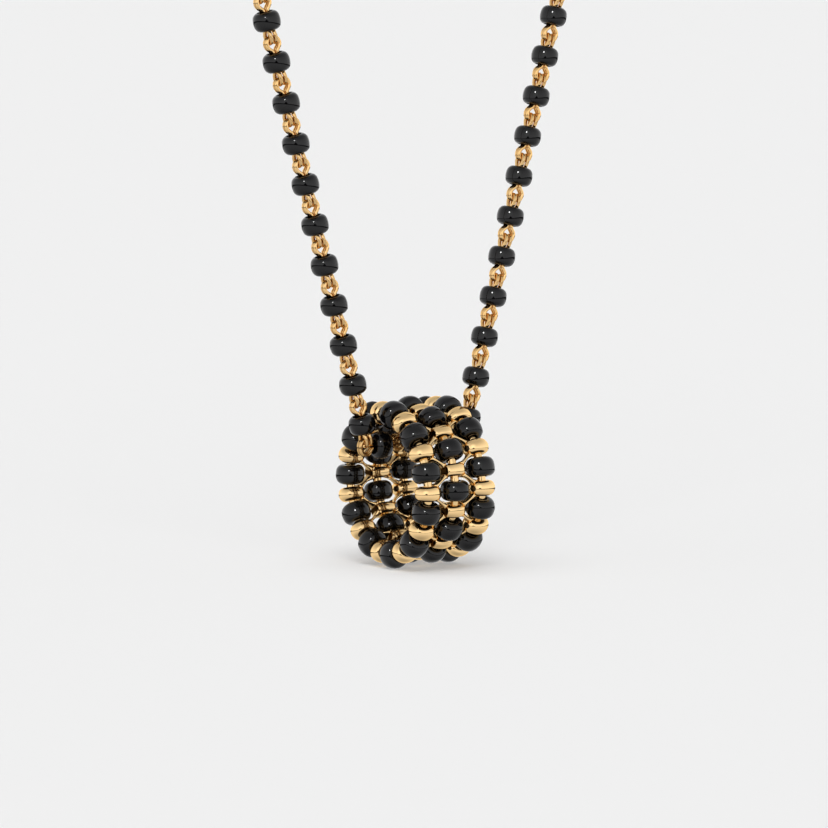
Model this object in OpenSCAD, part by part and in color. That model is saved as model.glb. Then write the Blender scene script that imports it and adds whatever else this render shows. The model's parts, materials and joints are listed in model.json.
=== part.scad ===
// A black bead necklace: a loop-in-loop gold chain with a bead on every link, a plain clasp at
// the nape, and a barrel pendant that hangs on the chain. The barrel is three hoops of beads in
// a soldered gold net. The necklace hangs in the plane of X and Z, with Z up. The origin is the
// middle of the clasp, where the neck carries the loop.

/* [Barrel] */
// Radius of the circle that each hoop's beads are threaded on
hoop_r = 7.17; // [7.1:0.01:7.4]
// Distance from one hoop to the next along the barrel
hoop_gap = 3.24; // [3.2:0.01:3.4]
// How far the first bead stands round from the top, in degrees
hoop_phase = 10.9; // [0:0.1:16]
// Lean of the barrel's axis, up towards the right, in degrees
barrel_lean = 1.5; // [0:0.1:2]
// Diameter of the gold wire of a hoop
hoop_wire_d = 0.85; // [0.7:0.05:0.9]
// Diameter of a gold rondelle of the outer hoops
rondelle_d = 2.6; // [2.4:0.05:2.65]
// Thickness of a gold rondelle of the outer hoops
rondelle_t = 1.45; // [1.2:0.05:1.5]
// Diameter of a gold rondelle of the middle hoop
middle_rondelle_d = 2.3; // [2.2:0.05:2.4]
// Thickness of a gold rondelle of the middle hoop
middle_rondelle_t = 1.25; // [1.1:0.05:1.4]
// Width of a middle rondelle along the barrel, between its two flat ends
middle_rondelle_w = 2.06; // [1.8:0.02:2.1]
// Thickness of the struts that join the rondelles of neighbouring hoops
strut_t = 0.24; // [0.2:0.01:0.3]
// Depth of the struts, measured outwards from the barrel's axis
strut_depth = 0.8; // [0.5:0.05:0.9]

/* [Beads] */
// Diameter of a black bead of the chain
bead_d = 2.75; // [2.7:0.01:2.8]
// Diameter of a black bead of the barrel
barrel_bead_d = 2.88; // [2.7:0.01:2.9]
// Thickness of a black bead
bead_t = 2; // [1.9:0.02:2]
// Radius of the rounding between a bead's side and its ends
bead_round = 0.72; // [0.5:0.02:0.8]
// Diameter of the hole of a barrel bead
barrel_bead_hole = 1.24; // [1.2:0.02:1.3]
// Diameter of the hole of a chain bead, which four strands of wire pass through
chain_bead_hole = 1.64; // [1.62:0.01:1.7]

/* [Chain] */
// Distance from one chain bead to the next
pitch = 4.2; // [4.16:0.02:4.26]
// Diameter of the chain's wire
wire_d = 0.26; // [0.22:0.01:0.27]
// Lean of the two strands from the vertical, in degrees
strand_lean = 15; // [14.5:0.1:15.5]
// Number of beads in the straight part of each strand
straight_beads = 35; // [34:1:36]
// Number of beads on each side in the curve round the neck
neck_beads = 16; // [15:1:17]
// Distance of the lowest bead of each strand from the middle of the necklace
lowest_bead_x = 6.38; // [6.3:0.01:6.5]
// Height of the lowest bead of each strand above the barrel's axis
lowest_bead_z = 6.12; // [6:0.01:6.2]
// Number of chain beads inside the barrel
inner_beads = 3; // [3:1:3]

/* [Clasp] */
// Diameter of the clasp's body
clasp_d = 3.2; // [2.6:0.1:3.4]
// Length of bare link left at each end of the clasp's body
clasp_bare = 1.3; // [1.2:0.1:1.5]

/* [Hidden] */
HOOP_NAMES = ["left", "middle", "right"];
PLACES = 11;                    // black beads in a hoop, and as many gold rondelles
PLACE_TURN = 360 / PLACES;
HALF_TURN = PLACE_TURN / 2;     // from a black bead to the gold rondelle beside it
function bead_name(hoop, place) = str("bead_", HOOP_NAMES[hoop], "_", place + 1);

FINE = 48;
wire_r = wire_d / 2;

// A link is one loop of wire folded in two. The fold is a ring seen from the front, and the two
// ends of the loop are eyes, which the next link's fold passes through. Heights are measured
// along the link from the middle of its bead, up towards the fold.
fold_r = 0.78;                  // middle of the wire round the fold
fold_z = 1.57;                  // the fold's centre
fold_flank = 42;                // where the round fold ends and its straight flanks begin
pair_w = 2 * wire_d - 0.02;     // the two strands side by side
eye_x = 0.26;                   // an eye's distance from the link's middle
eye_z = -1.99;                  // centre of an eye's round end
eye_r = 0.56;                   // middle of the wire round an eye's end
eye_throat = -1.16;             // where the two strands of an eye meet
eye_hold = 2.51;                // depth of the metal that the next link's fold goes round
stem_top = 0.85;
stem_slim = -0.4;               // the stem is pair_w wide from here up
bead_face = bead_t / 2;
slack = 0.1;                    // how far a fold slides up the eyes at the barrel's mouths

// Lean of the chain from the vertical at a strand's bead, counted up from the barrel.
curve_step = (90 + strand_lean) / (neck_beads + 1);
function curve_turn(n) = max(0, n - straight_beads + 1) * curve_step;
function up_lean(side, n) = side * (strand_lean - curve_turn(n));
function along(lean, length) = [length * sin(lean), length * cos(lean)];

function strand_bead(side, n) = n == 0
    ? [side * lowest_bead_x, lowest_bead_z]
    : strand_bead(side, n - 1)
      + along(up_lean(side, n - 1), pitch / 2)
      + along(up_lean(side, n), pitch / 2);

// The run through the barrel turns about the middle of a fold at both mouths. On the left the
// fold is the run's own, round the eyes of the lowest strand link, and on the right it is the
// strand's. No weight pulls on the run's links, and they slide a little way together.
left_mouth = strand_bead(-1, 0) - along(up_lean(-1, 0), eye_hold - slack);
right_mouth = strand_bead(1, 0) - along(up_lean(1, 0), fold_z);
run = right_mouth - left_mouth;
run_dir = run / norm(run);
run_first = left_mouth + run_dir * fold_z;
run_last = right_mouth - run_dir * (eye_hold - slack);
function run_bead(n) = run_first + (run_last - run_first) * n / (inner_beads - 1);

// The clasp lies between the joints above the two highest beads.
strand_beads = straight_beads + neck_beads;
function head(side) = strand_bead(side, strand_beads - 1)
    + along(up_lean(side, strand_beads - 1), pitch / 2);
clasp_reach = norm(head(1) - head(-1));
clasp_shift = (clasp_reach - pitch) / 2;
clasp_body = clasp_reach - 2 * clasp_bare;
drop = head(1)[1];              // depth of the barrel's axis below the origin
echo(drop = drop, clasp_reach = clasp_reach, run_first = run_first, run_last = run_last);

// Section of a rounded disc, from the wall of its hole to its rim
module disc_section(d, t, round, hole) {
    difference() {
        union() {
            for (end = [-1, 1])
                translate([d / 2 - round, end * (t / 2 - round)])
                    circle(r = round, $fn = FINE);
            translate([0, round - t / 2])
                square([d / 2, t - 2 * round]);
            translate([0, -t / 2])
                square([d / 2 - round, t]);
        }
        translate([-d, -t])
            square([d + hole / 2, 2 * t]);
    }
}

module bead(d, hole) {
    rotate_extrude($fn = FINE)
        disc_section(d, bead_t, bead_round, hole);
}

// Puts its children on a hoop, a number of half turns from the top, with Z along the hoop.
module on_hoop(hoop, half_turns) {
    rotate([hoop_phase + half_turns * HALF_TURN, 0, 0])
        translate([(hoop - 1) * hoop_gap, 0, hoop_r])
            rotate([90, 0, 0])
                children();
}

// The middle hoop stands half a place round from the outer ones.
function bead_turns(hoop, place) = 2 * place + hoop % 2;

// Puts its children, made about the barrel's middle with its axis along X, where it hangs.
module in_barrel() {
    translate([0, 0, -drop])
        rotate([0, -barrel_lean, 0])
            children();
}

module barrel_bead(hoop, place) {
    color("#17181b")
        in_barrel()
            on_hoop(hoop, bead_turns(hoop, place))
                bead(barrel_bead_d, barrel_bead_hole);
}

// A strut from a middle rondelle to one of an outer hoop, half a place further on or back.
module strut(side, half_turns, step) {
    reach_x = 1.6;
    reach_round = 1.05;
    rotate([hoop_phase + (half_turns + step / 2) * HALF_TURN, 0, 0])
        translate([side * hoop_gap / 2, 0, hoop_r])
            rotate([0, 0, -side * step * atan(reach_round / reach_x)])
                cube([norm([reach_x, reach_round]), strut_t, strut_depth], center = true);
}

module rondelle(d, t) {
    rotate_extrude($fn = FINE)
        disc_section(d, t, t * 0.42, 0);
}

// A middle rondelle is cut flat at both ends, where the struts meet it.
module middle_rondelle() {
    intersection() {
        rondelle(middle_rondelle_d, middle_rondelle_t);
        cube([middle_rondelle_w, 2 * middle_rondelle_d, 2 * middle_rondelle_t], center = true);
    }
}

module barrel_net() {
    color("#d9a94f")
        in_barrel() {
            for (hoop = [0:2]) {
                translate([(hoop - 1) * hoop_gap, 0, 0])
                    rotate([0, 90, 0])
                        rotate_extrude($fn = 2 * FINE)
                            translate([hoop_r, 0])
                                circle(d = hoop_wire_d, $fn = FINE);
                for (place = [0:PLACES - 1])
                    on_hoop(hoop, bead_turns(hoop, place) + 1)
                        if (hoop == 1) middle_rondelle();
                        else rondelle(rondelle_d, rondelle_t);
            }
            for (place = [0:PLACES - 1])
                for (side = [-1, 1])
                    for (step = [-1, 1])
                        strut(side, bead_turns(1, place) + 1, step);
        }
}

// The fold, seen from the front: a ring whose flanks run down into the bead's hole
module fold() {
    outer = fold_r + wire_r;
    inner = fold_r - wire_r;
    flank = [cos(fold_flank), -sin(fold_flank)];
    rotate([90, 0, 0])
        linear_extrude(pair_w, center = true)
            difference() {
                union() {
                    translate([0, fold_z])
                        circle(r = outer, $fn = FINE);
                    polygon([
                        [-outer * flank[0], fold_z + outer * flank[1]],
                        [outer * flank[0], fold_z + outer * flank[1]],
                        [eye_x + wire_r, stem_top - 0.1],
                        [-eye_x - wire_r, stem_top - 0.1]]);
                }
                translate([0, fold_z])
                    circle(r = inner, $fn = FINE);
                polygon([
                    [-inner * flank[0], fold_z + inner * flank[1]],
                    [inner * flank[0], fold_z + inner * flank[1]],
                    [eye_x - wire_r, stem_top],
                    [eye_x - wire_r, stem_top - 0.2],
                    [wire_r - eye_x, stem_top - 0.2],
                    [wire_r - eye_x, stem_top]]);
            }
}

// A stem and its eye, seen from the side. The stem is slim where the bead is on it.
module eye() {
    outer = eye_r + wire_r;
    inner = eye_r - wire_r;
    rotate([90, 0, 90])
        linear_extrude(wire_d, center = true)
            difference() {
                union() {
                    translate([0, eye_z])
                        circle(r = outer, $fn = FINE);
                    polygon([
                        [outer, eye_z],
                        [outer * 0.88, eye_throat],
                        [outer * 0.72, -bead_face],
                        [pair_w / 2, stem_slim],
                        [pair_w / 2, stem_top],
                        [-pair_w / 2, stem_top],
                        [-pair_w / 2, stem_slim],
                        [-outer * 0.72, -bead_face],
                        [-outer * 0.88, eye_throat],
                        [-outer, eye_z]]);
                }
                translate([0, eye_z])
                    circle(r = inner, $fn = FINE);
                polygon([
                    [inner, eye_z],
                    [inner, eye_z + inner],
                    [inner - 0.03, eye_throat],
                    [0.03 - inner, eye_throat],
                    [-inner, eye_z + inner],
                    [-inner, eye_z]]);
            }
}

module eyes() {
    for (side = [-1, 1])
        translate([side * eye_x, 0, 0])
            eye();
}

module link() {
    fold();
    eyes();
}

// Puts its children at a point of the necklace's plane, with Z at a lean from the vertical.
module hung_at(point, lean) {
    translate([point[0], 0, point[1] - drop])
        rotate([0, lean, 0])
            children();
}

// A link's fold points up on the left strand and down on the right one. In the run it points
// left.
module on_strand(side, n) {
    hung_at(strand_bead(side, n), up_lean(side, n) + (side < 0 ? 0 : 180))
        children();
}

module in_run(n) {
    hung_at(run_bead(n), atan2(-run_dir[0], -run_dir[1]))
        children();
}

// The left half of the chain takes the bead in the middle of the barrel too.
module along_half(side) {
    for (n = [0:strand_beads - 1])
        on_strand(side, n)
            children();
    for (n = side < 0 ? [0:(inner_beads - 1) / 2] : [(inner_beads + 1) / 2:inner_beads - 1])
        in_run(n)
            children();
}

module chain_beads_left() {
    color("#17181b") along_half(-1) bead(bead_d, chain_bead_hole);
}

module chain_beads_right() {
    color("#17181b") along_half(1) bead(bead_d, chain_bead_hole);
}

module chain_links_left() {
    color("#d9a94f") along_half(-1) link();
}

module chain_links_right() {
    color("#d9a94f") along_half(1) link();
}

// The clasp is one plain piece: a closed body with a link soldered into both ends, so that it
// ends in a fold on the right and in eyes on the left.
module clasp() {
    color("#d9a94f")
        rotate([0, 90, 0]) {
            for (end = [-1, 1])
                translate([0, 0, end * clasp_shift])
                    link();
            rotate_extrude($fn = FINE)
                disc_section(clasp_d, clasp_body, clasp_d * 0.4, 0);
        }
}

barrel_net();
chain_beads_left();
chain_beads_right();
chain_links_left();
chain_links_right();
clasp();
for (hoop = [0:2]) for (place = [0:PLACES - 1])
    barrel_bead(hoop, place);
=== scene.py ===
# %% [markdown]
# # A black bead necklace with a barrel pendant
# The necklace has four kinds of piece: black beads, links of doubled gold wire, a barrel of
# beads held in a soldered gold net, and a plain clasp. The hard shapes come from the packed
# model, which this script loads first. Blender then lays finer meshes over the same places,
# because a jeweller's work is read from its highlights, and those need smooth surfaces.

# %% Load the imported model
import json
import math

import bpy
import numpy as np
from mathutils import Matrix, Vector

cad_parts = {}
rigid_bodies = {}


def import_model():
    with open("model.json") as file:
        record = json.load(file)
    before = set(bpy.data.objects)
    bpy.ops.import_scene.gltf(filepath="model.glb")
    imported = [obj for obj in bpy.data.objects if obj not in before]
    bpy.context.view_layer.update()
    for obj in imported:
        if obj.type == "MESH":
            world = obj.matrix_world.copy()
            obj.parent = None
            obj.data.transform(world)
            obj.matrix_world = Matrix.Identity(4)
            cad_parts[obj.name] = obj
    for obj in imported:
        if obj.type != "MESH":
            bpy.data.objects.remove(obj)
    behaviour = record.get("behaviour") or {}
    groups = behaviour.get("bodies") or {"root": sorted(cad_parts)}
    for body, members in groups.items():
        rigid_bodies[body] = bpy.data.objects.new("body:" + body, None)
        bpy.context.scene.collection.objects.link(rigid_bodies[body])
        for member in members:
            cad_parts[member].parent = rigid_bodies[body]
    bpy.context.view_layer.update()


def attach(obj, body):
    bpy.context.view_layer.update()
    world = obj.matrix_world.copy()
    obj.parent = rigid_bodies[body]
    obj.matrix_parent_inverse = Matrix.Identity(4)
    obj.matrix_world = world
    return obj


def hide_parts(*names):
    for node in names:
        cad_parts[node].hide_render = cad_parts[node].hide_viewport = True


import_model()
MM = 0.001

# %% [markdown]
# ## Sizes
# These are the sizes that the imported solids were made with, in millimetres. Blender works in
# metres, so every mesh is built in millimetres and scaled once, when it is made.
# The origin is the middle of the clasp. The barrel's axis lies `DROP` below it.

# %% Sizes of the necklace
DROP = 193.0517            # depth of the barrel's axis below the clasp
HOOP_R = 7.17              # from the barrel's axis to the holes of its beads
HOOP_GAP = 3.24            # from one hoop to the next
HOOP_PHASE = 10.9          # degrees that the hoops are turned round the barrel's axis
BARREL_TILT = -1.5         # the barrel leans with the short run of chain that carries it
PLACES = 11                # black beads on each hoop
HALF_TURN = 180 / PLACES   # degrees from a black bead to the gold rondelle beside it
PITCH = 4.2                # from one bead of the chain to the next
LEAN = 15.0                # degrees that each strand leans out where it leaves the barrel
STRAIGHT_BEADS = 35
NECK_BEADS = 16
STRAND_BEADS = STRAIGHT_BEADS + NECK_BEADS
LOWEST_BEAD = np.array([6.38, 6.12])   # sideways and up from the barrel's axis
MOUTH_REACH = 2.41         # from a bead to the joint at its eyes, at the barrel's mouths
FOLD_CENTRE = 1.57         # from a bead to the middle of its fold
CLASP_D = 3.2
CLASP_END = 1.3            # bare link at each end of the clasp
print("hoops of", PLACES, "black beads, with", round(2 * HALF_TURN, 2), "degrees between them")

# %% [markdown]
# ## Making meshes from numbers
# Turned shapes and wires make up the whole necklace. A lathe sweeps a closed outline round an
# axis, and a tube sweeps a small circle along a path. Both return plain arrays of points and
# faces. Arrays are quick: one bead is made once and then copied to a hundred places by
# multiplying its points with a hundred matrices. Blender's own Array modifier could do this
# for a straight row, but not for a chain whose links lean and turn.

# %% Lathe, tube and copies
def lathe(outline, steps):
    """Sweeps a closed outline of (radius, height) points round the Z axis."""
    outline = np.asarray(outline, float)
    turn = np.linspace(0, 2 * np.pi, steps, endpoint=False)
    radius, height = outline[:, 0], outline[:, 1]
    points = np.stack([
        np.outer(np.cos(turn), radius),
        np.outer(np.sin(turn), radius),
        np.tile(height, (steps, 1))], axis=-1)
    return points.reshape(-1, 3), grid_faces(steps, len(outline), True)


def grid_faces(rows, columns, closed_rows):
    """Joins a grid of points with quads. Columns always close up into rings."""
    last = rows if closed_rows else rows - 1
    i, j = np.meshgrid(np.arange(last), np.arange(columns), indexing="ij")
    after_i, after_j = (i + 1) % rows, (j + 1) % columns
    corners = ((i, j), (after_i, j), (after_i, after_j), (i, after_j))
    return np.stack([(row * columns + column).ravel() for row, column in corners], axis=-1)


def tube(path, radius, sides):
    """Sweeps a circle along a closed path, and keeps the circle from twisting."""
    path = np.asarray(path, float)
    ahead = np.roll(path, -1, axis=0) - np.roll(path, 1, axis=0)
    ahead /= np.linalg.norm(ahead, axis=1)[:, None]
    across = np.zeros_like(path)
    across[0] = np.cross(ahead[0], [0.3, 0.5, 0.8])
    for n in range(1, len(path)):
        across[n] = across[n - 1] - ahead[n] * (across[n - 1] @ ahead[n])
        across[n] /= np.linalg.norm(across[n])
    across[0] /= np.linalg.norm(across[0])
    beside = np.cross(ahead, across)
    start = across[-1] - ahead[0] * (across[-1] @ ahead[0])
    twist = math.atan2(start @ beside[0], start @ across[0])
    share = np.linspace(0, 1, len(path), endpoint=False)[:, None]
    angle = np.linspace(0, 2 * np.pi, sides, endpoint=False)[None, :] - share * twist
    ring = np.cos(angle)[..., None] * across[:, None] + np.sin(angle)[..., None] * beside[:, None]
    points = path[:, None] + radius * ring
    return points.reshape(-1, 3), grid_faces(len(path), sides, True)


def moved(part, *matrices):
    """Returns one part that holds a copy of the given part at each matrix."""
    points, faces = part
    stack = np.stack([np.array(m) for m in matrices])
    copies = np.einsum("nij,kj->nki", stack[:, :3, :3], points) + stack[:, None, :3, 3]
    offsets = np.arange(len(matrices))[:, None, None] * len(points)
    return copies.reshape(-1, 3), (faces[None] + offsets).reshape(-1, faces.shape[1])


def joined(parts):
    """Returns one part that holds several."""
    points, faces, count = [], [], 0
    for part_points, part_faces in parts:
        points.append(part_points)
        faces.append(part_faces + count)
        count += len(part_points)
    return np.concatenate(points), np.concatenate(faces)


def smooth_path(corners, steps):
    """Runs a smooth closed curve through the corner points."""
    corners = np.asarray(corners, float)
    before, here = np.roll(corners, 1, axis=0), corners
    after, beyond = np.roll(corners, -1, axis=0), np.roll(corners, -2, axis=0)
    t = np.linspace(0, 1, steps, endpoint=False)[None, :, None]
    before, here, after, beyond = (c[:, None] for c in (before, here, after, beyond))
    curve = 0.5 * (2 * here + (after - before) * t
                   + (2 * before - 5 * here + 4 * after - beyond) * t ** 2
                   + (3 * here - before - 3 * after + beyond) * t ** 3)
    return curve.reshape(-1, 3)


print("helpers ready: lathe, tube, moved, joined, smooth_path")

# %% [markdown]
# ## From arrays to a piece
# Each piece becomes one mesh object. It rides on a body of the imported model, so that it moves
# with the joint, and it says which solids it stands for. Two numbers are kept for every point.
# `tone` is a small difference between one bead or link and the next. The other number says
# how deep the point sits in the work, and the gold's material reads it as painted shade: a
# deep brown and a duller polish in hollows, creases and the inside of the barrel.

# %% Make a piece
def make_piece(name, part, material, body, stands_for, tone=None, recess=None):
    """Makes a mesh object of a part in millimetres, and says what it rides on and replaces."""
    points, faces = part
    mesh = bpy.data.meshes.new(name)
    mesh.vertices.add(len(points))
    mesh.vertices.foreach_set("co", (points * MM).astype(np.float32).ravel())
    sides = faces.shape[1]
    mesh.loops.add(len(faces) * sides)
    mesh.loops.foreach_set("vertex_index", faces.astype(np.int32).ravel())
    mesh.polygons.add(len(faces))
    mesh.polygons.foreach_set("loop_start", np.arange(0, len(faces) * sides, sides, dtype=np.int32))
    mesh.update(calc_edges=True)
    mesh.validate()
    mesh.polygons.foreach_set("use_smooth", np.ones(len(mesh.polygons), bool))
    # the second number is the painted shade that the gold's material darkens by
    for label, values in (("tone", tone), ("recess", recess)):
        layer = mesh.attributes.new(label, "FLOAT", "POINT")
        if values is None:
            values = np.zeros(len(points))
        layer.data.foreach_set("value", np.asarray(values, np.float32))
    mesh.materials.append(material)
    piece = bpy.data.objects.new(name, mesh)
    bpy.context.scene.collection.objects.link(piece)
    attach(piece, body)
    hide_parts(*stands_for)
    print(name, "-", sum(len(p.vertices) - 2 for p in mesh.polygons), "triangles")
    return piece


# %% [markdown]
# ## Where each bead hangs
# The strands rise from the barrel in two straight lines that lean apart, and then each link
# turns by the same small angle round the neck. A bead's matrix puts its hole along the strand.
# Three beads lie in the barrel, on the short run of chain that carries it.

# %% Places of the chain's beads
CURVE_STEP = (90 + LEAN) / (NECK_BEADS + 1)


def direction(lean):
    return np.array([math.sin(math.radians(lean)), math.cos(math.radians(lean))])


def strand_places(side):
    """Bead centres and leans of one strand, from the barrel up."""
    places = []
    spot = LOWEST_BEAD * [side, 1]
    lean = side * LEAN
    for n in range(STRAND_BEADS):
        turned = max(0, n - STRAIGHT_BEADS + 1) * CURVE_STEP
        new_lean = side * (LEAN - turned)
        if n:
            spot = spot + (direction(lean) + direction(new_lean)) * PITCH / 2
        lean = new_lean
        places.append((spot, lean))
    return places


def hung(spot, lean):
    """A matrix that puts a piece in the necklace's plane, with its Z along the lean."""
    where = Matrix.Translation((spot[0], 0, spot[1] - DROP))
    return where @ Matrix.Rotation(math.radians(lean), 4, "Y")


left_places, right_places = strand_places(-1), strand_places(1)
left_mouth = left_places[0][0] - direction(left_places[0][1]) * MOUTH_REACH
right_mouth = right_places[0][0] - direction(right_places[0][1]) * FOLD_CENTRE
run = right_mouth - left_mouth
run_dir = run / np.linalg.norm(run)
run_first = left_mouth + run_dir * FOLD_CENTRE
run_last = right_mouth - run_dir * MOUTH_REACH
run_lean = math.degrees(math.atan2(-run_dir[0], -run_dir[1]))
run_places = [(run_first + (run_last - run_first) * n / 2, run_lean) for n in range(3)]

left_frames = [hung(s, lean) for s, lean in left_places + run_places[:2]]
right_frames = [hung(s, lean + 180) for s, lean in right_places] + [hung(*run_places[2])]
neck_end = right_places[-1][0] + direction(right_places[-1][1]) * PITCH / 2
CLASP_HALF = neck_end[0]
print(len(left_frames) + len(right_frames), "chain beads; clasp", round(2 * CLASP_HALF, 2), "mm")

# %% [markdown]
# ## Marks that both finishes share
# Polished gold and polished black stone both carry the faintest uneven polish: broad soft
# patches, and a fine grain that only a highlight would show. Because both materials use them,
# they are a node group with its own sockets. It puts out a mask of the patches and a height
# for the bump, and each material decides what to do with them.

# %% Node group for polish marks
GRAIN_SHARE = 0.25         # how much the fine grain adds to the height of the patches


def new_group(name, inputs, outputs):
    group = bpy.data.node_groups.new(name, "ShaderNodeTree")
    for label, kind, value in inputs:
        socket = group.interface.new_socket(label, in_out="INPUT", socket_type=kind)
        if value is not None:
            socket.default_value = value
    for label, kind in outputs:
        group.interface.new_socket(label, in_out="OUTPUT", socket_type=kind)
    return group, group.nodes.new("NodeGroupInput"), group.nodes.new("NodeGroupOutput")


polish, polish_in, polish_out = new_group(
    "polish marks",
    [("Vector", "NodeSocketVector", None), ("Patch Scale", "NodeSocketFloat", 500.0),
     ("Grain Scale", "NodeSocketFloat", 6000.0)],
    [("Patches", "NodeSocketFloat"), ("Height", "NodeSocketFloat")])
patches = polish.nodes.new("ShaderNodeTexNoise")
patches.inputs["Detail"].default_value = 3.0
grain = polish.nodes.new("ShaderNodeTexNoise")
grain.inputs["Detail"].default_value = 2.0
relief = polish.nodes.new("ShaderNodeMath")
relief.operation = "MULTIPLY_ADD"
relief.inputs[1].default_value = GRAIN_SHARE
for noise, scale in ((patches, "Patch Scale"), (grain, "Grain Scale")):
    polish.links.new(polish_in.outputs["Vector"], noise.inputs["Vector"])
    polish.links.new(polish_in.outputs[scale], noise.inputs["Scale"])
polish.links.new(grain.outputs["Fac"], relief.inputs[0])
polish.links.new(patches.outputs["Fac"], relief.inputs[2])
polish.links.new(patches.outputs["Fac"], polish_out.inputs["Patches"])
polish.links.new(relief.outputs["Value"], polish_out.inputs["Height"])
print("group", polish.name, "has", len(polish.nodes), "nodes")

# %% [markdown]
# ## A material's frame
# Each material starts the same way: a Principled BSDF, the polish marks in object
# coordinates, a roughness that follows the marks, and a very shallow bump. Object coordinates
# are in metres, which is why the scales of the noise are in hundreds and thousands.

# %% Shared start of both materials
def polished(name, roughness, spread, patch_scale, grain_scale, depth_mm):
    """A new material, its shader, and the outputs that carry the patches and the roughness."""
    material = bpy.data.materials.new(name)
    material.use_nodes = True
    nodes, links = material.node_tree.nodes, material.node_tree.links
    shader = nodes["Principled BSDF"]
    where = nodes.new("ShaderNodeTexCoord")
    marks = nodes.new("ShaderNodeGroup")
    marks.node_tree = polish
    marks.inputs["Patch Scale"].default_value = patch_scale
    marks.inputs["Grain Scale"].default_value = grain_scale
    links.new(where.outputs["Object"], marks.inputs["Vector"])
    rough = nodes.new("ShaderNodeMapRange")
    rough.inputs["From Min"].default_value = 0.3
    rough.inputs["From Max"].default_value = 0.7
    rough.inputs["To Min"].default_value = roughness
    rough.inputs["To Max"].default_value = roughness + spread
    links.new(marks.outputs["Patches"], rough.inputs["Value"])
    bump = nodes.new("ShaderNodeBump")
    bump.inputs["Strength"].default_value = 0.2
    bump.inputs["Distance"].default_value = depth_mm * MM
    links.new(marks.outputs["Height"], bump.inputs["Height"])
    links.new(bump.outputs["Normal"], shader.inputs["Normal"])
    return material, shader, marks.outputs["Patches"], rough.outputs["Result"]


def point_number(material, label):
    """The number that make_piece kept for every point under this label."""
    node = material.node_tree.nodes.new("ShaderNodeAttribute")
    node.attribute_name = label
    return node.outputs["Fac"]


def colour_mix(material, factor, first, second):
    """Mixes two colours. Each may be a plain colour or another node's output."""
    mix = material.node_tree.nodes.new("ShaderNodeMix")
    mix.data_type = "RGBA"
    links = material.node_tree.links
    links.new(factor, mix.inputs["Factor"])
    for socket, colour in ((mix.inputs[6], first), (mix.inputs[7], second)):
        if isinstance(colour, tuple):
            socket.default_value = (*colour, 1.0)
        else:
            links.new(colour, socket)
    return mix.outputs[2]


print("shared start of the materials ready")

# %% [markdown]
# ## Black stone
# The beads are jet black and highly polished. Their colour is almost nothing: what the eye
# sees is the three per cent of the studio that a glossy dark surface reflects. So the colour
# stays near zero, with a slight difference from bead to bead, and the roughness stays low.

# %% Black bead material
DARKER_STONE = (0.0012, 0.0013, 0.0016)
PALER_STONE = (0.0030, 0.0032, 0.0038)
black, shader, _, rough = polished(
    "polished black stone", roughness=0.03, spread=0.04,
    patch_scale=420.0, grain_scale=5200.0, depth_mm=0.004)
stone = colour_mix(black, point_number(black, "tone"), DARKER_STONE, PALER_STONE)
black.node_tree.links.new(stone, shader.inputs["Base Color"])
black.node_tree.links.new(rough, shader.inputs["Roughness"])
shader.inputs["IOR"].default_value = 1.42
print("black material:", len(black.node_tree.nodes), "nodes")

# %% [markdown]
# ## Polished yellow gold
# Gold is a metal, so its colour is the colour of its reflections. Two close tones give the
# slight unevenness of cast and hand-polished work, and a link with a high `tone` is a little
# warmer. Where the painted shade is high the polish is duller and the colour is painted a deep
# brown, standing in for the shade in the corners of the setting. The tint keeps the gold's own
# colour where light only grazes it.

# %% Gold material
DEEPER_GOLD = (0.94, 0.636, 0.302)
PALER_GOLD = (0.98, 0.695, 0.35)
WARMER_GOLD = (0.93, 0.53, 0.17)
# a deep brown, painted where the gold lies in shade
PAINTED_SHADE_BROWN = (0.055, 0.02, 0.004)
HOLLOW_ROUGH = 0.12       # how much rougher the deepest recess is
gold, shader, patch_mask, rough = polished(
    "polished yellow gold", roughness=0.03, spread=0.05,
    patch_scale=700.0, grain_scale=7000.0, depth_mm=0.006)
clean = colour_mix(gold, patch_mask, DEEPER_GOLD, PALER_GOLD)
warm = colour_mix(gold, point_number(gold, "tone"), clean, WARMER_GOLD)
shade_amount = point_number(gold, "recess")
# painted shade: the gold is mixed towards deep brown where the shade number is high
shaded_gold = colour_mix(gold, shade_amount, warm, PAINTED_SHADE_BROWN)
dull = gold.node_tree.nodes.new("ShaderNodeMath")
dull.operation = "MULTIPLY_ADD"
dull.inputs[1].default_value = HOLLOW_ROUGH
gold.node_tree.links.new(shade_amount, dull.inputs[0])
gold.node_tree.links.new(rough, dull.inputs[2])
gold.node_tree.links.new(shaded_gold, shader.inputs["Base Color"])
gold.node_tree.links.new(dull.outputs["Value"], shader.inputs["Roughness"])
shader.inputs["Metallic"].default_value = 1.0
shader.inputs["Specular Tint"].default_value = (1.0, 0.86, 0.62, 1.0)
print("gold material:", len(gold.node_tree.nodes), "nodes")

# %% [markdown]
# ## The outline of a bead
# A bead is turned: a short drum whose sides swell very slightly, with wide soft shoulders.
# Its outline is two arcs that share a tangent, one long and flat for the side, one short for
# the shoulder. A shared tangent matters on a glossy thing: where it is missing, a highlight
# jumps. The outline runs over the upper shoulder, down the side, over the lower shoulder and
# back up through the hole.

# %% Outline of a drum with soft shoulders
def arc(centre, radius, start, end, steps):
    angle = np.radians(np.linspace(start, end, steps))
    across, up = centre[0] + radius * np.cos(angle), centre[1] + radius * np.sin(angle)
    return np.stack([across, up], axis=-1)


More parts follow.
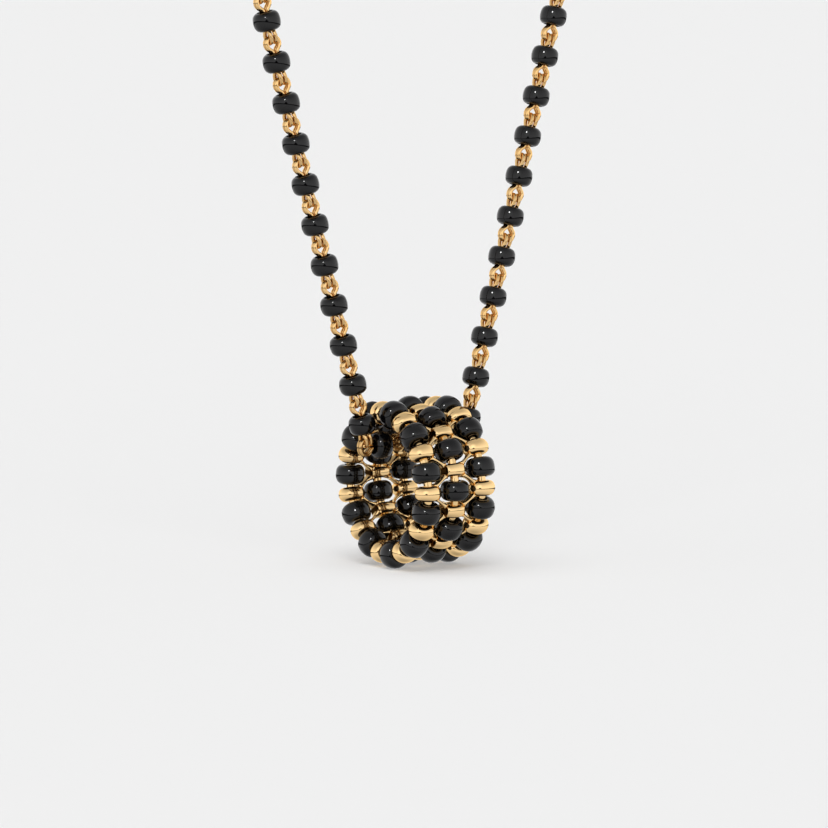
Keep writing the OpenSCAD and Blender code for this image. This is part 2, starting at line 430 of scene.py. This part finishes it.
def drum_outline(width, thick, shoulder, hole, side_tilt, steps, lip=0.06):
    """Closed outline of a drilled drum. The side's arc ends at side_tilt degrees."""
    tilt = math.radians(side_tilt)
    half, inner = thick / 2, hole / 2
    offset = (half - shoulder) / math.sin(tilt)
    side_r = offset + shoulder
    side_x = width / 2 - side_r
    side = arc((side_x, 0), side_r, side_tilt, -side_tilt, steps)
    corner = (side_x + offset * math.cos(tilt), half - shoulder)
    face_end = 90.0
    if inner + lip > corner[0]:
        face_end = math.degrees(math.acos((inner + lip - corner[0]) / shoulder))
    upper = arc(corner, shoulder, face_end, side_tilt, steps + 2)
    top = upper[0][1]
    if upper[0][0] > inner + lip * 2:
        upper = np.vstack([[(inner + lip, top)], upper])
    lower = upper[::-1] * [1, -1]
    edge = [(inner + lip * 0.3, top - lip * 0.3), (inner, top - lip)]
    wall = [(inner, z) for z in np.linspace(top - lip, lip - top, 4)[1:-1]]
    lower_edge = [(r, -z) for r, z in edge]
    return np.array([*upper, *side[1:-1], *lower, *lower_edge, *wall[::-1], *edge[::-1]])


barrel_outline = drum_outline(
    width=2.99, thick=2.0, shoulder=0.70, hole=1.12, side_tilt=14, steps=10)
chain_outline = drum_outline(
    width=2.77, thick=1.92, shoulder=0.66, hole=1.6, side_tilt=13, steps=8)
print("outline points:", len(barrel_outline), "and", len(chain_outline))

# %% [markdown]
# ## Beads of the chain
# No two natural beads are quite alike, and each lies on its link with a little play. A fixed
# seed gives each bead its own small tilt, size and tone, the same on every run.

# %% Chain beads
luck = np.random.default_rng(7)


def jittered(matrices, tilt, size):
    """Tilts, spins and scales each matrix a little, about its own centre."""
    out = []
    for matrix in matrices:
        a, b = np.radians(luck.uniform(-tilt, tilt, 2))
        turn = Matrix.Rotation(a, 4, "X") @ Matrix.Rotation(b, 4, "Y")
        spin = Matrix.Rotation(luck.uniform(0, 2 * math.pi), 4, "Z")
        out.append(matrix @ turn @ spin @ Matrix.Scale(1 + luck.uniform(-size, size), 4))
    return out


def bead_string(name, outline, matrices, steps, tilt, size, body, stands_for):
    bead = lathe(outline, steps)
    part = moved(bead, *jittered(matrices, tilt, size))
    tones = np.repeat(luck.uniform(0, 1, len(matrices)), len(bead[0]))
    return make_piece(name, part, black, body, stands_for, tone=tones)


strands = (("left", left_frames), ("right", right_frames))
for side, frames in strands:
    bead_string(f"strand_beads_{side}", chain_outline, frames, steps=36, tilt=0.6, size=0.004,
                body="chain", stands_for=[f"chain_beads_{side}"])

# %% [markdown]
# ## One link
# Each link is a single loop of round wire, folded in two. Follow the wire: it arches over the
# fold, runs down through the bead, swings round one eye, comes back up through the bead,
# arches over again beside the first arch, and goes down to the other eye. The fold stands in
# the plane of the necklace and the eyes stand square to it, which is why each next link can
# hang in the last one. The code lists the corners of one half. The other half is the same,
# turned half a circle round the bead's hole.

# %% Path of the folded wire
WIRE_R = 0.205
PAIR = 0.195               # half the distance between the two wires of a fold
STEM_X = 0.26              # half the distance between the two eyes
ARCH = {"centre": 1.90, "half_width": 0.72, "rise": 0.60}
# sideways and up, from the foot of the arch down into the bead
FLANK = [(0.69, 1.70), (0.60, 1.52), (0.47, 1.37), (0.33, 1.23),
         (0.25, 1.06), (0.23, 0.80), (0.25, 0.50)]
# square to the plane and up, from the bead's middle down to the widest part of the eye
EYE = [(0.20, 0.0), (0.22, -0.54), (0.33, -0.94), (0.50, -1.30), (0.57, -1.62)]
EYE_R = 0.57


def link_corners():
    """Corners of the wire over one arch and round one eye; half of the whole link."""
    arch = []
    for t in np.radians([0, 22, 45, 68, 90, 112, 135, 158, 180]):
        x = ARCH["half_width"] * math.cos(t)
        z = ARCH["centre"] + ARCH["rise"] * (1 - abs(math.cos(t)) ** 2.6) ** (1 / 2.3)
        arch.append((x, PAIR, z))
    flank_down = [(-x, PAIR, z) for x, z in FLANK]
    eye_down = [(-STEM_X, y, z) for y, z in EYE]
    eye_middle = EYE[-1][1] - 0.05
    turn = [(-STEM_X, EYE_R * math.cos(t), eye_middle - EYE_R * math.sin(t))
            for t in np.radians([25, 50, 90, 130, 155])]
    eye_up = [(-STEM_X, -y, z) for y, z in EYE[::-1]]
    flank_up = [(-x, -PAIR, z) for x, z in FLANK[::-1]]
    return arch + flank_down + eye_down + turn + eye_up + flank_up


half_link = link_corners()
whole_link = half_link + [(-x, -y, z) for x, y, z in half_link]
wire_path = smooth_path(whole_link, 2)
link = tube(wire_path, WIRE_R, 8)
wire_length = float(np.linalg.norm(np.diff(wire_path, axis=0), axis=1).sum())
print("one link:", len(wire_path), "points of path,", round(wire_length, 1), "mm of wire")

# %% [markdown]
# ## Where a link is shaded
# Shade is painted onto the wire inside the bead, into the groove between the two arches, and
# at the eyes, where the next link hangs. The painted shade is high in those places, and only a
# touch above nothing elsewhere.

# %% Painted shade of a link
OPEN_WIRE = 0.09
IN_BEAD, BEAD_REACH = 0.5, 1.2   # how deep, and how far up and down from the bead's middle
AT_EYE, EYE_HEIGHT, EYE_REACH = 0.25, -1.65, 0.40   # how deep, where, and how far up and down
IN_GROOVE, GROOVE_HALF, GROOVE_FROM = 0.5, 0.12, 0.5   # how deep, how wide, and from where up
link_side, link_height = link[0][:, 1], link[0][:, 2]
groove = np.where(link_height > GROOVE_FROM, np.abs(link_side), 1.0)
# painted shade on the link: inside the bead, at the eyes and in the groove between the arches
link_recess = OPEN_WIRE + IN_BEAD * np.clip(1.0 - np.abs(link_height) / BEAD_REACH, 0, 1)
link_recess += AT_EYE * np.exp(-((link_height - EYE_HEIGHT) / EYE_REACH) ** 2)
link_recess += IN_GROOVE * np.clip(1.0 - groove / GROOVE_HALF, 0, 1)
print("recess of a link: from", round(link_recess.min(), 2), "to", round(link_recess.max(), 2))

# %% [markdown]
# ## The whole chain
# The same link goes to every bead. On the left strand its fold points up, on the right one
# down, because the links run round the necklace in one direction. The links that lie inside
# the barrel get a little more painted shade all over, for the shade inside the barrel.

# %% Chain links
# extra painted shade on the links inside the barrel
INSIDE_BARREL_SHADE = 0.22
for side, frames in strands:
    deeper = np.zeros(len(frames))
    deeper[STRAND_BEADS:] = INSIDE_BARREL_SHADE
    shade = (deeper[:, None] + link_recess[None]).ravel()
    warmer = np.repeat(luck.uniform(0.15, 0.5, len(frames)), len(link_height))
    make_piece(f"strand_links_{side}", moved(link, *frames), gold, "chain",
               [f"chain_links_{side}"], tone=warmer, recess=shade)

# %% [markdown]
# ## Clasp
# The photograph doesn't show the clasp, so it stays one plain piece: a round body with a link
# soldered into each end. The body is a lathe again, with a pinhole along its axis that is too
# fine to see.

# %% Clasp
clasp_turn = Matrix.Rotation(math.radians(90), 4, "Y")
clasp_outline = drum_outline(
    width=CLASP_D, thick=2 * (CLASP_HALF - CLASP_END), shoulder=CLASP_D * 0.4,
    hole=0.02, side_tilt=1.0, steps=12, lip=0.002)
clasp_body = lathe(clasp_outline, 48)
clasp_shift = CLASP_HALF - PITCH / 2
clasp_links = [clasp_turn @ Matrix.Translation((0, 0, end * clasp_shift)) for end in (-1, 1)]
make_piece("neck_clasp", joined([moved(clasp_body, clasp_turn), moved(link, *clasp_links)]),
           gold, "chain", ["clasp"])

# %% [markdown]
# ## Black beads of the barrel
# Each hoop carries eleven black beads, and the middle hoop stands half a place round from the
# outer two. A bead's hole lies along the hoop, so its matrix turns it round the barrel's axis
# and then lays it down along the circle.

# %% Beads on the three hoops
barrel_tilt = Matrix.Rotation(math.radians(BARREL_TILT), 4, "Y")
barrel_frame = Matrix.Translation((0, 0, -DROP)) @ barrel_tilt


def on_hoop(hoop, half_turns):
    """A matrix that puts a bead on a hoop, so many half places round from the top."""
    around = Matrix.Rotation(math.radians(HOOP_PHASE + half_turns * HALF_TURN), 4, "X")
    out = Matrix.Translation(((hoop - 1) * HOOP_GAP, 0, HOOP_R))
    lay = Matrix.Rotation(math.radians(90), 4, "X")
    return barrel_frame @ around @ out @ lay


def bead_turns(hoop, place):
    """Half places from the top to a black bead. Hoops are numbered 0, 1 and 2."""
    return 2 * place + hoop % 2


for hoop, hoop_name in enumerate(("left", "middle", "right")):
    spots = [on_hoop(hoop, bead_turns(hoop, p)) for p in range(PLACES)]
    bead_string(f"hoop_beads_{hoop_name}", barrel_outline, spots, steps=56, tilt=0.4, size=0.003,
                body="barrel", stands_for=[f"bead_{hoop_name}_{p + 1}" for p in range(PLACES)])

# %% [markdown]
# ## Gold rondelles
# Between the black beads sits a gold rondelle, a little wider along the barrel than it is
# deep, and thinner on the inside of the ring than on the outside, so that the ring closes.
# The rondelles of the middle hoop are cut flat at both ends, where the struts meet them. All
# of that starts as one lathed drum whose points are then pushed about: scaled, wedged, and
# for the middle hoop pressed in from the ends with a soft limit.

# %% Rondelles
OUTER = {"half_width": 1.42, "half_depth": 1.20, "thick": 1.46, "shoulder": 0.57, "tilt": 24}
MIDDLE = {"half_width": 1.70, "half_depth": 1.04, "thick": 1.24, "shoulder": 0.46, "tilt": 20}
MIDDLE_HALF = 1.12          # where the flat ends of a middle rondelle lie
MIDDLE_SINK = 0.13          # the middle rondelles sit a little nearer the barrel's axis
WEDGE = 0.6                 # 1 would make the sides point straight at the barrel's axis
SHARP = 10                  # how sudden the soft limit is


def rondelle(size, flat_half=None):
    """A rondelle: X along the barrel, Y outwards, Z round the hoop."""
    outline = drum_outline(width=2 * size["half_depth"], thick=size["thick"],
                           shoulder=size["shoulder"], hole=0.5, side_tilt=size["tilt"], steps=9)
    points, faces = lathe(outline, 56)
    points[:, 0] *= size["half_width"] / size["half_depth"]
    if flat_half:
        points[:, 0] /= (1 + (np.abs(points[:, 0]) / flat_half) ** SHARP) ** (1 / SHARP)
        points[:, 1] -= MIDDLE_SINK
    points[:, 2] *= (HOOP_R + WEDGE * points[:, 1]) / HOOP_R
    return points, faces


outer_rondelle, middle_rondelle = rondelle(OUTER), rondelle(MIDDLE, MIDDLE_HALF)
print("rondelle:", len(outer_rondelle[0]), "points")

# %% [markdown]
# ## Struts
# Forty-four thin struts tie each middle rondelle to its four neighbours, and together they
# draw a honeycomb round the black beads. A strut is a small plate on edge, deeper than it is
# thick, that widens at both ends where solder has run in. It is lofted: the same rounded
# section is placed at a few stations and scaled.

# %% Struts
STRUT = {"thick": 0.29, "depth": 0.80, "top": 0.33}
STRUT_FROM = (1.04, 0.50)   # along the barrel, and round the hoop, from the middle rondelle
STRUT_TO = (2.42, 1.48)
STRUT_SIDES = 12
ROUNDING = 0.6              # 1 would give an ellipse, 0 a sharp rectangle
# how far along, and how much thicker and deeper the strut is there
FLARE = [(0.0, 2.5, 1.7), (0.10, 1.8, 1.5), (0.22, 1.3, 1.3), (0.38, 1.0, 1.1),
         (0.60, 1.0, 1.1), (0.76, 1.3, 1.2), (0.88, 1.8, 1.3), (1.0, 2.6, 1.3)]


def rounded(wave):
    """Pushes a sine or cosine out towards 1 or -1, which squares up a circle."""
    return np.sign(wave) * np.abs(wave) ** ROUNDING


section_turn = np.radians(np.arange(STRUT_SIDES) * 360 / STRUT_SIDES)
SECTION = np.stack([rounded(np.cos(section_turn)) * STRUT["thick"] / 2,
                    (rounded(np.sin(section_turn)) - 1) * STRUT["depth"] / 2], axis=-1)


def strut(side, step):
    """One strut: X along the barrel, Y outwards, Z round the hoop, like its middle rondelle."""
    start = np.array([side * STRUT_FROM[0], step * STRUT_FROM[1]])
    end = np.array([side * STRUT_TO[0], step * STRUT_TO[1]])
    along = (end - start) / np.linalg.norm(end - start)
    normal = np.array([-along[1], along[0]])
    rings = []
    for share, thicker, deeper in FLARE:
        middle = start + (end - start) * share
        flat = middle[None] + SECTION[:, :1] * thicker * normal[None]
        angle = flat[:, 1] / HOOP_R
        radius = HOOP_R + STRUT["top"] + SECTION[:, 1] * deeper
        across, out, around = flat[:, 0], radius * np.cos(angle) - HOOP_R, radius * np.sin(angle)
        rings.append(np.stack([across, out, around], axis=-1))
    rings.insert(0, np.tile(rings[0].mean(0), (STRUT_SIDES, 1)))
    rings.append(np.tile(rings[-1].mean(0), (STRUT_SIDES, 1)))
    return np.concatenate(rings), grid_faces(len(rings), STRUT_SIDES, False)


struts = joined([strut(side, step) for side in (-1, 1) for step in (-1, 1)])
print("four struts:", len(struts[0]), "points")

# %% [markdown]
# ## The gold net as one piece
# Hoops, rondelles and struts are soldered together, so they are one mesh. On a rondelle the
# painted shade grows towards the inside of the barrel and close to the hoop's wire, and it is
# full on the flat ends of the middle ones. On a strut it is high along both flanks, so that
# only the outer edge shines.

# %% Painted shade of a rondelle and of a strut
# painted shade on a rondelle: near the hoop's wire, towards the barrel's inside, and on flat ends
def rondelle_painted_shade(points, flat_half=None):
    across, out = points[:, 0], points[:, 1]
    near_wire = np.clip(0.9 - np.hypot(across, out), 0, 0.5)
    inside = np.clip((0.3 - out) / 1.4, 0, 1)
    recess = near_wire + 0.18 * inside
    if flat_half:
        recess += np.clip((np.abs(across) - flat_half + 0.08) / 0.06, 0, 1)
    return np.minimum(recess, 1)


outer_painted_shade = rondelle_painted_shade(outer_rondelle[0])
middle_painted_shade = rondelle_painted_shade(middle_rondelle[0], MIDDLE_HALF)
# painted shade on both flanks of a strut, so that only its outer edge shines
flank_painted_shade = np.clip(1.9 - 2.1 * np.abs(np.sin(section_turn)), 0, 0.6)
strut_painted_shade = np.tile(flank_painted_shade, len(struts[0]) // STRUT_SIDES)
print("mean recess of an outer rondelle", round(outer_painted_shade.mean(), 2),
      "and of a strut", round(strut_painted_shade.mean(), 2))

# %% Gold net
HOOP_WIRE_R = 0.43
# a light, even painted shade on the hoop's wire
HOOP_PAINTED_SHADE = 0.10
hoop_circle = [(0, -HOOP_R * math.sin(t), HOOP_R * math.cos(t))
               for t in np.linspace(0, 2 * math.pi, 16 * PLACES, endpoint=False)]
hoop_wire = tube(hoop_circle, HOOP_WIRE_R, 20)
net_parts, net_painted_shade = [], []


def add_to_net(part, recess, places):
    """Adds a copy of the part at each place, each with the same painted shade."""
    net_parts.append(moved(part, *places))
    net_painted_shade.append(np.tile(recess, len(places)))


for hoop in range(3):
    middle = barrel_frame @ Matrix.Translation(((hoop - 1) * HOOP_GAP, 0, 0))
    add_to_net(hoop_wire, np.full(len(hoop_wire[0]), HOOP_PAINTED_SHADE), [middle])
    spots = [on_hoop(hoop, bead_turns(hoop, p) + 1) for p in range(PLACES)]
    if hoop == 1:
        add_to_net(middle_rondelle, middle_painted_shade, spots)
        add_to_net(struts, strut_painted_shade, spots)
    else:
        add_to_net(outer_rondelle, outer_painted_shade, spots)

make_piece("gold_net", joined(net_parts), gold, "barrel", ["barrel_net"],
           recess=np.concatenate(net_painted_shade))

# %% [markdown]
# ## Floor
# The floor is a plain pale sheet that runs on far behind the necklace. Seen at a low angle it
# fills the whole picture, so no horizon shows. It is kept out of reflections: the gloss of
# beads and gold is drawn by the surrounding studio alone.

# %% Floor
FLOOR_REACH = 1.51         # from the hoops' circle down to the floor; the beads just touch it
FLOOR_Z = -DROP - HOOP_R - FLOOR_REACH
bpy.ops.mesh.primitive_plane_add(size=30, location=(0, 0, FLOOR_Z * MM))
floor = bpy.context.object
floor.name = "floor"
floor.visible_glossy = False
paper = bpy.data.materials.new("pale paper")
paper.use_nodes = True
matte = paper.node_tree.nodes["Principled BSDF"]
matte.inputs["Base Color"].default_value = (0.80, 0.80, 0.80, 1)
matte.inputs["Roughness"].default_value = 1.0
matte.inputs["Specular IOR Level"].default_value = 0.0
floor.data.materials.append(paper)
print("floor", round(-FLOOR_Z, 2), "mm below the clasp")

# %% [markdown]
# ## Studio
# A jeweller's photographer puts the piece in a white tent. Every glossy surface then shows
# soft white, brightest near the horizon and where a lamp shines on the tent, and a little
# darker below, where the table is. The white is cut by one narrow dark line where the tent
# meets the table, and by the dark peak of the opening that the camera looks through. The
# World does all of this: its brightness is a function of direction, and it lights reflections
# only. The pale floor is lit by lamps, so that the shadow on it can be as tight as the
# photograph's.

# %% World with the tent's dark seam
SEAM_DEG = -9.0            # elevation of the seam, as seen from the barrel
SEAM_HALF_DEG = 2.9
world = bpy.data.worlds.new("white tent")
bpy.context.scene.world = world
world.use_nodes = True
world.cycles_visibility.diffuse = False
sky, sky_links = world.node_tree.nodes, world.node_tree.links


def maths(operation, *values, clamp=False):
    """The output of a new Math node. Each value is a number or another node's output."""
    node = sky.new("ShaderNodeMath")
    node.operation = operation
    node.use_clamp = clamp
    for socket, value in zip(node.inputs, values):
        if isinstance(value, (int, float)):
            socket.default_value = value
        else:
            sky_links.new(value, socket)
    return node.outputs[0]


look = sky.new("ShaderNodeTexCoord")
split = sky.new("ShaderNodeSeparateXYZ")
sky_links.new(look.outputs["Generated"], split.inputs[0])
elevation = maths("DEGREES", maths("ARCSINE", split.outputs["Z"]))
to_front = maths("MULTIPLY", split.outputs["Y"], -1.0)
azimuth = maths("DEGREES", maths("ARCTAN2", split.outputs["X"], to_front))
above = maths("SUBTRACT", elevation, SEAM_DEG)
seam = maths("SUBTRACT", SEAM_HALF_DEG, maths("ABSOLUTE", above), clamp=True)
print("the seam darkens", 2 * SEAM_HALF_DEG, "degrees of the tent")

# %% The tent's opening
OPENING_DEG = -31.0        # azimuth, a little to the right of the camera
OPENING_HALF_DEG = 19.0    # half its width at the table
OPENING_TALL_DEG = 21.0
rise = maths("SUBTRACT", 1.0, maths("DIVIDE", above, OPENING_TALL_DEG), clamp=True)
opening_half = maths("MULTIPLY", maths("POWER", rise, 1.5), OPENING_HALF_DEG)
from_opening = maths("ABSOLUTE", maths("SUBTRACT", azimuth, OPENING_DEG))
opening = maths("MULTIPLY", maths("SUBTRACT", opening_half, from_opening), 0.5, clamp=True)
upper = maths("GREATER_THAN", above, 0.0)
opening = maths("MULTIPLY", opening, upper)
dark = maths("MAXIMUM", seam, opening)
print("the opening is", 2 * OPENING_HALF_DEG, "degrees wide at the table")

# %% The tent's soft shading
WALL_LOW, WALL_HIGH = 1.15, 0.52   # brightness beside the seam and far from it
FAR_FROM_SEAM = 0.85               # as a share of 90 degrees
PATCH_DEG = (-38.0, 26.0)          # azimuth and elevation of the patch that a lamp lights
PATCH_REACH_DEG = 30.0
PATCH_GAIN = 0.55
TENT_LIGHT, TABLE_LIGHT = 1.05, 0.82   # share of the brightness above and below the seam
DARKNESS = 0.985                   # how much of it the seam and the opening take away
far = maths("DIVIDE", maths("ABSOLUTE", above), 90.0, clamp=True)
wall = sky.new("ShaderNodeMapRange")
wall.interpolation_type = "SMOOTHSTEP"
wall.inputs["From Min"].default_value = 0.0
wall.inputs["From Max"].default_value = FAR_FROM_SEAM
wall.inputs["To Min"].default_value = WALL_LOW
wall.inputs["To Max"].default_value = WALL_HIGH
sky_links.new(far, wall.inputs["Value"])
aside = maths("DIVIDE", maths("SUBTRACT", azimuth, PATCH_DEG[0]), PATCH_REACH_DEG)
higher = maths("DIVIDE", maths("SUBTRACT", elevation, PATCH_DEG[1]), PATCH_REACH_DEG)
squares = maths("ADD", maths("MULTIPLY", aside, aside), maths("MULTIPLY", higher, higher))
nearness = maths("SUBTRACT", 1.0, maths("SQRT", squares), clamp=True)
patch_light = maths("ADD", 1.0, maths("MULTIPLY", nearness, PATCH_GAIN))
lit_wall = maths("MULTIPLY", wall.outputs["Result"], patch_light)
side_light = maths("ADD", TABLE_LIGHT, maths("MULTIPLY", upper, TENT_LIGHT - TABLE_LIGHT))
lit_wall = maths("MULTIPLY", lit_wall, side_light)
not_dark = maths("SUBTRACT", 1.0, maths("MULTIPLY", dark, DARKNESS))
brightness = maths("MULTIPLY", lit_wall, not_dark)
sky_links.new(brightness, sky["Background"].inputs["Strength"])
sky["Background"].inputs["Color"].default_value = (1.0, 1.0, 1.0, 1.0)
print("sky:", len(sky), "nodes")

# %% [markdown]
# ## Lamps
# Four suns, because a sun needs no distance. The widest one fills the sky overhead and makes
# the soft dark line where the barrel touches the floor. A weaker one behind the camera lays a
# little shadow behind the barrel. The fill casts no shadow at all: it stands for the light
# that a white tent scatters in from all sides. None of the three shows in reflections. The
# last one does the opposite: it shows only in reflections, as the point of light that sits
# on each black bead. A light linking collection keeps it off the gold, where the photograph
# has broad soft patches and no points.

# %% Lamps
def towards(azimuth_deg, elevation_deg):
    """The direction with this azimuth, which is 0 at the front, and this elevation."""
    a, e = math.radians(azimuth_deg), math.radians(elevation_deg)
    return Vector((math.sin(a) * math.cos(e), -math.cos(a) * math.cos(e), math.sin(e)))


def far_lamp(name, azimuth_deg, elevation_deg, strength, width_deg, in_gloss=False, shadow=True):
    data = bpy.data.lights.new(name, "SUN")
    data.energy = strength
    data.angle = math.radians(width_deg)
    data.use_shadow = shadow
    lamp = bpy.data.objects.new(name, data)
    lamp.rotation_mode = "QUATERNION"
    lamp.rotation_quaternion = towards(azimuth_deg, elevation_deg).to_track_quat("Z", "Y")
    lamp.visible_glossy = in_gloss
    lamp.visible_diffuse = not in_gloss
    bpy.context.scene.collection.objects.link(lamp)
    return lamp


far_lamp("overhead sheet", azimuth_deg=-70, elevation_deg=80, strength=1.58, width_deg=78)
far_lamp("lamp behind the camera", azimuth_deg=-33, elevation_deg=50, strength=0.65, width_deg=24)
far_lamp("fill", azimuth_deg=0, elevation_deg=90, strength=1.37, width_deg=10, shadow=False)
point = far_lamp("point of light", azimuth_deg=-45, elevation_deg=31, strength=0.85, width_deg=9,
                 in_gloss=True)
lit = bpy.data.collections.new("shows the point of light")
for thing in bpy.data.objects:
    if thing.name.startswith(("strand_beads", "hoop_beads")):
        lit.objects.link(thing)
point.light_linking.receiver_collection = lit

# %% [markdown]
# ## Camera
# The picture was taken from the left and slightly above, with a long lens. The camera stands
# half a metre from the barrel and looks straight at it. The lens is then shifted upwards, as
# on a view camera, so that the barrel sits low in the picture and the strands get their room.

# %% Camera
CAMERA = {"azimuth": -33.512, "elevation": 6.409, "roll": -0.321, "distance": 496.3}
FOCAL_PX = 4891.5          # focal length in pixels
PICTURE = 828              # width and height of the picture in pixels
BARREL_PX = (415.42, 480.63)   # where the barrel's middle lies in the picture
SENSOR_MM = 36.0
turned = math.radians(CAMERA["azimuth"])
roll = math.radians(CAMERA["roll"])
back = towards(CAMERA["azimuth"], CAMERA["elevation"])
level = Vector((math.cos(turned), math.sin(turned), 0))
upright = back.cross(level)
right = math.cos(roll) * level + math.sin(roll) * upright
up = math.cos(roll) * upright - math.sin(roll) * level
camera_data = bpy.data.cameras.new("camera")
camera_data.sensor_width = SENSOR_MM
camera_data.lens = FOCAL_PX / PICTURE * SENSOR_MM
camera_data.shift_x = (PICTURE / 2 - BARREL_PX[0]) / PICTURE
camera_data.shift_y = (BARREL_PX[1] - PICTURE / 2) / PICTURE
camera_data.clip_start, camera_data.clip_end = 0.01, 100.0
camera = bpy.data.objects.new("camera", camera_data)
bpy.context.scene.collection.objects.link(camera)
stand = (Vector((0, 0, -DROP)) + back * CAMERA["distance"]) * MM
camera.matrix_world = Matrix.Translation(stand) @ Matrix((right, up, back)).transposed().to_4x4()
bpy.context.scene.camera = camera
bpy.context.scene.view_settings.view_transform = "Standard"
print("lens", round(camera_data.lens, 1), "mm, shifted", round(camera_data.shift_y, 4))
